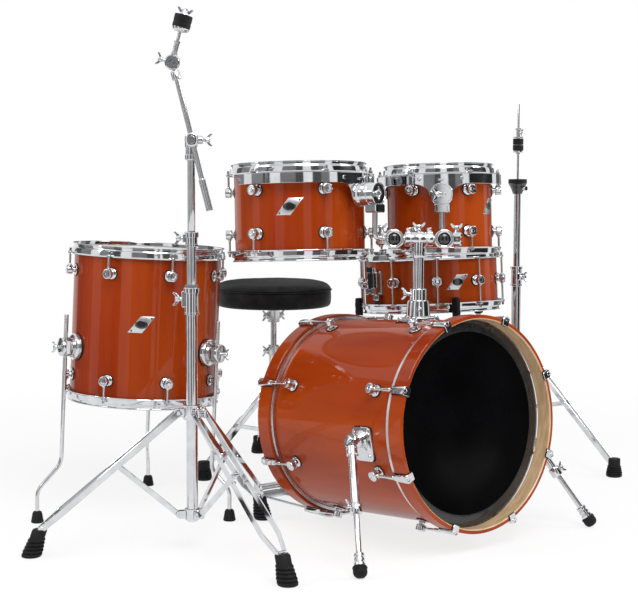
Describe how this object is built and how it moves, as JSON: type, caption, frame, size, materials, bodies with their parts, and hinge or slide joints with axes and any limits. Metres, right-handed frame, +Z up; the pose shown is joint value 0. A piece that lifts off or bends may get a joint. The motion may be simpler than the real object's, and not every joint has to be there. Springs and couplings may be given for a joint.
{
  "type": "drum kit",
  "caption": "Jazz drum kit in amber lacquer with chrome stands: bass drum, rack toms, floor tom, snare, throne, boom and hi-hat stands, and pedals.",
  "frame": {"origin": "on the floor, at the centre of the bounding box", "axes": "+Z up; -Y is where the bass drum's front head faces; +X runs from the boom stand to the hi-hat stand"},
  "size_m": [1.8638, 1.2916, 1.1824],
  "materials": {
    "amber_lacquer": "high-gloss clear lacquer over amber stained wood",
    "black_felt": "black felt",
    "black_head": "glossy black film",
    "black_vinyl": "black vinyl",
    "chrome": "polished chrome",
    "coated_head": "white coated film",
    "steel_wire": "bright steel wire"
  },
  "bodies": {
    "kit_base": {"bass_shell": "amber_lacquer", "bass_front_hoop": "amber_lacquer", "bass_rear_hoop": "amber_lacquer", "bass_front_head": "black_head", "tom_mount_base": "chrome", "snare_stand_tripod": "chrome", "floor_tom_shell": "amber_lacquer", "floor_tom_top_hoop": "chrome", "floor_tom_bottom_hoop": "chrome", "floor_tom_top_head": "coated_head", "throne_tripod": "chrome", "cymbal_base_tube": "chrome", "hihat_tripod": "chrome", "pedal_frame": "chrome"},
    "left_spur": {"left_spur_leg": "chrome"},
    "left_spur_rod": {"left_spur_rod": "chrome"},
    "right_spur": {"right_spur_leg": "chrome"},
    "right_spur_rod": {"right_spur_rod": "chrome"},
    "tom_post": {"tom_post": "chrome"},
    "left_tom_arm": {"left_tom_arm": "chrome"},
    "tom12": {"tom12_shell": "amber_lacquer", "tom12_top_hoop": "chrome", "tom12_bottom_hoop": "chrome", "tom12_top_head": "coated_head", "tom12_bracket": "chrome"},
    "right_tom_arm": {"right_tom_arm": "chrome"},
    "tom10": {"tom10_shell": "amber_lacquer", "tom10_top_hoop": "chrome", "tom10_bottom_hoop": "chrome", "tom10_top_head": "coated_head", "tom10_bracket": "chrome"},
    "snare_tube": {"snare_stand_tube": "chrome"},
    "snare": {"snare_basket": "chrome", "snare_shell": "amber_lacquer", "snare_top_hoop": "chrome", "snare_bottom_hoop": "chrome", "snare_top_head": "coated_head", "snare_wires": "steel_wire"},
    "throw_off": {"throw_off_lever": "chrome"},
    "floor_leg_1": {"floor_tom_leg_1": "chrome"},
    "floor_leg_2": {"floor_tom_leg_2": "chrome"},
    "floor_leg_3": {"floor_tom_leg_3": "chrome"},
    "throne_post": {"throne_post": "chrome"},
    "throne_seat": {"throne_seat": "black_vinyl"},
    "leg_hub": {"cymbal_leg_hub": "chrome"},
    "leg_1": {"cymbal_leg_1": "chrome"},
    "brace_1": {"cymbal_brace_1": "chrome"},
    "leg_2": {"cymbal_leg_2": "chrome"},
    "brace_2": {"cymbal_brace_2": "chrome"},
    "leg_3": {"cymbal_leg_3": "chrome"},
    "brace_3": {"cymbal_brace_3": "chrome"},
    "cymbal_middle": {"cymbal_middle_tube": "chrome"},
    "cymbal_upper": {"cymbal_upper_tube": "chrome"},
    "boom": {"cymbal_boom": "chrome"},
    "tilter": {"cymbal_tilter": "black_felt"},
    "hihat_upper": {"hihat_tube": "chrome"},
    "hihat_rod": {"hihat_rod": "chrome"},
    "hihat_pedal": {"hihat_pedal": "chrome"},
    "pedal_board": {"pedal_board": "chrome"},
    "beater": {"pedal_beater": "black_felt"}
  },
  "joints": [
    {"name": "left_spur_fold", "type": "hinge", "parent": "kit_base", "child": "left_spur", "pos_m": [-0.37896, -0.48634, 0.25607], "axis": [0.9207, 0, -0.3902], "range_deg": [0, 110]},
    {"name": "left_spur_slide", "type": "slide", "parent": "left_spur", "child": "left_spur_rod", "axis": [-0.3414, -0.4842, -0.8056], "range_m": [-0.05, 0.06]},
    {"name": "right_spur_fold", "type": "hinge", "parent": "kit_base", "child": "right_spur", "pos_m": [0.14495, -0.48634, 0.25607], "axis": [0.9207, 0, 0.3902], "range_deg": [0, 110]},
    {"name": "right_spur_slide", "type": "slide", "parent": "right_spur", "child": "right_spur_rod", "axis": [0.3414, -0.4842, -0.8056], "range_m": [-0.05, 0.06]},
    {"name": "tom_post_slide", "type": "slide", "parent": "kit_base", "child": "tom_post", "axis": [0, 0, 1], "range_m": [-0.03, 0.06]},
    {"name": "left_tom_tilt", "type": "hinge", "parent": "tom_post", "child": "left_tom_arm", "pos_m": [-0.16054, -0.38166, 0.683], "axis": [0.7638, -0.6455, 0], "range_deg": [-8, 8]},
    {"name": "left_tom_slide", "type": "slide", "parent": "left_tom_arm", "child": "tom12", "axis": [0, 0, 1], "range_m": [-0.015, 0.03]},
    {"name": "right_tom_tilt", "type": "hinge", "parent": "tom_post", "child": "right_tom_arm", "pos_m": [-0.07347, -0.45524, 0.683], "axis": [0.7638, -0.6455, 0], "range_deg": [-8, 8]},
    {"name": "right_tom_slide", "type": "slide", "parent": "right_tom_arm", "child": "tom10", "axis": [0, 0, 1], "range_m": [-0.015, 0.03]},
    {"name": "snare_height", "type": "slide", "parent": "kit_base", "child": "snare_tube", "axis": [0, 0, 1], "range_m": [-0.03, 0.02]},
    {"name": "snare_tilt", "type": "hinge", "parent": "snare_tube", "child": "snare", "pos_m": [0.34431, 0.00096, 0.3918], "axis": [1, 0, 0], "range_deg": [-6, 1]},
    {"name": "throw_off", "type": "hinge", "parent": "snare", "child": "throw_off", "pos_m": [0.13563, 0.02201, 0.52533], "axis": [-0.061, -0.9962, 0.0616], "range_deg": [0, 90]},
    {"name": "floor_leg_1_slide", "type": "slide", "parent": "kit_base", "child": "floor_leg_1", "axis": [0.0395, -0.023, 0.999], "range_m": [-0.02, 0.06]},
    {"name": "floor_leg_2_slide", "type": "slide", "parent": "kit_base", "child": "floor_leg_2", "axis": [0.0395, -0.023, 0.999], "range_m": [-0.02, 0.06]},
    {"name": "floor_leg_3_slide", "type": "slide", "parent": "kit_base", "child": "floor_leg_3", "axis": [0.0395, -0.023, 0.999], "range_m": [-0.02, 0.06]},
    {"name": "throne_height", "type": "slide", "parent": "kit_base", "child": "throne_post", "axis": [0, 0, 1], "range_m": [-0.05, 0.06]},
    {"name": "throne_turn", "type": "hinge", "parent": "throne_post", "child": "throne_seat", "pos_m": [0.117, 0.40655, 0.462], "axis": [0, 0, 1], "continuous": true},
    {"name": "cymbal_fold", "type": "slide", "parent": "kit_base", "child": "leg_hub", "axis": [0, 0, 1], "range_m": [0, 0.115]},
    {"name": "leg_1_fold", "type": "hinge", "parent": "leg_hub", "child": "leg_1", "pos_m": [-0.58753, -0.21453, 0.31], "axis": [-0.4305, 0.9026, 0], "range_deg": [0, 37]},
    {"name": "brace_1_fold", "type": "hinge", "parent": "kit_base", "child": "brace_1", "pos_m": [-0.58753, -0.21453, 0.085], "axis": [0.4305, -0.9026, 0], "range_deg": [0, 37]},
    {"name": "leg_2_fold", "type": "hinge", "parent": "leg_hub", "child": "leg_2", "pos_m": [-0.64005, -0.21155, 0.31], "axis": [-0.5299, -0.848, 0], "range_deg": [0, 37]},
    {"name": "brace_2_fold", "type": "hinge", "parent": "kit_base", "child": "brace_2", "pos_m": [-0.64005, -0.21155, 0.085], "axis": [0.5299, 0.848, 0], "range_deg": [0, 37]},
    {"name": "leg_3_fold", "type": "hinge", "parent": "leg_hub", "child": "leg_3", "pos_m": [-0.61565, -0.25743, 0.31], "axis": [0.9994, -0.0349, 0], "range_deg": [0, 37]},
    {"name": "brace_3_fold", "type": "hinge", "parent": "kit_base", "child": "brace_3", "pos_m": [-0.61565, -0.25743, 0.085], "axis": [-0.9994, 0.0349, 0], "range_deg": [0, 37]},
    {"name": "cymbal_middle_slide", "type": "slide", "parent": "kit_base", "child": "cymbal_middle", "axis": [0, 0, 1], "range_m": [-0.02, 0.06]},
    {"name": "cymbal_upper_slide", "type": "slide", "parent": "cymbal_middle", "child": "cymbal_upper", "axis": [0, 0, 1], "range_m": [-0.02, 0.06]},
    {"name": "boom_tilt", "type": "hinge", "parent": "cymbal_upper", "child": "boom", "pos_m": [-0.62484, -0.24498, 0.901], "axis": [-0.6455, -0.7638, 0], "range_deg": [-75, 75]},
    {"name": "tilter_tilt", "type": "hinge", "parent": "boom", "child": "tilter", "pos_m": [-0.65573, -0.21888, 1.0644], "axis": [-0.6455, -0.7638, 0], "range_deg": [-60, 60]},
    {"name": "hihat_height", "type": "slide", "parent": "kit_base", "child": "hihat_upper", "axis": [0, 0, 1], "range_m": [-0.04, 0.05]},
    {"name": "hihat_press", "type": "hinge", "parent": "kit_base", "child": "hihat_pedal", "pos_m": [0.6247, 0.26869, 0.026], "axis": [0.9659, 0.2588, 0], "range_deg": [0, 10], "stiffness_Nm_per_rad": 10, "springref_deg": -14.32},
    {"name": "hihat_pull", "type": "slide", "parent": "hihat_upper", "child": "hihat_rod", "axis": [0, 0, 1], "range_m": [-0.0305, 0]},
    {"name": "pedal_press", "type": "hinge", "parent": "kit_base", "child": "pedal_board", "pos_m": [-0.117, 0.12555, 0.026], "axis": [1, 0, 0], "range_deg": [0, 12.5], "stiffness_Nm_per_rad": 12, "springref_deg": -14.32},
    {"name": "beater_swing", "type": "hinge", "parent": "kit_base", "child": "beater", "pos_m": [-0.117, -0.09945, 0.2], "axis": [1, 0, 0], "range_deg": [0, 45.5]}
  ],
  "couplings": [
    {"joint": "leg_1_fold", "follows": "cymbal_fold", "rad_per_m": 5.5009},
    {"joint": "brace_1_fold", "follows": "cymbal_fold", "rad_per_m": 5.5009},
    {"joint": "leg_2_fold", "follows": "cymbal_fold", "rad_per_m": 5.5009},
    {"joint": "brace_2_fold", "follows": "cymbal_fold", "rad_per_m": 5.5009},
    {"joint": "leg_3_fold", "follows": "cymbal_fold", "rad_per_m": 5.5009},
    {"joint": "brace_3_fold", "follows": "cymbal_fold", "rad_per_m": 5.5009},
    {"joint": "hihat_pull", "follows": "hihat_press", "m_per_rad": -0.17189},
    {"joint": "beater_swing", "follows": "pedal_press", "ratio": 3.6}
  ]
}
